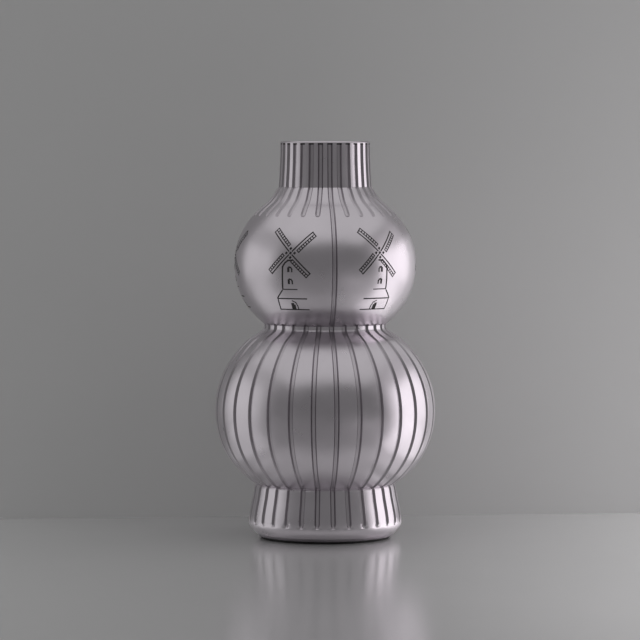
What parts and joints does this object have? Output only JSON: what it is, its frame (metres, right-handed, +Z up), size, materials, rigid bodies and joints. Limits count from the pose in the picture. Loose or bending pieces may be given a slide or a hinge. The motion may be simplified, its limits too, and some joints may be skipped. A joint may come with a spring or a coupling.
{
  "type": "plastic vase",
  "caption": "Double-gourd plastic vase: a fluted neck, a smooth upper globe engraved with tower mills, and a fluted belly on a flared fluted foot.",
  "frame": {"origin": "on the surface the vase stands on, below the axis of the vase", "axes": "+Z up along the axis of the vase, towards its mouth; -Y is the front, where one of the two seam grooves runs; the left half is at -X"},
  "size_m": [0.1658, 0.1664, 0.3],
  "materials": {
    "silver_plastic": "satin silver, metal-effect pigment",
    "grey_plastic": "plain moulded grey",
    "black_rubber": "matt black"
  },
  "bodies": {
    "root": {"neck_collar": "silver_plastic", "upper_globe_left": "silver_plastic", "upper_globe_right": "silver_plastic", "waist_ring": "grey_plastic", "waist_seal": "black_rubber", "belly_left": "silver_plastic", "belly_right": "silver_plastic", "foot_seal": "black_rubber", "foot_ring": "silver_plastic", "base_seal": "black_rubber", "base_plate": "grey_plastic", "stand_ring": "black_rubber"}
  },
  "joints": []
}
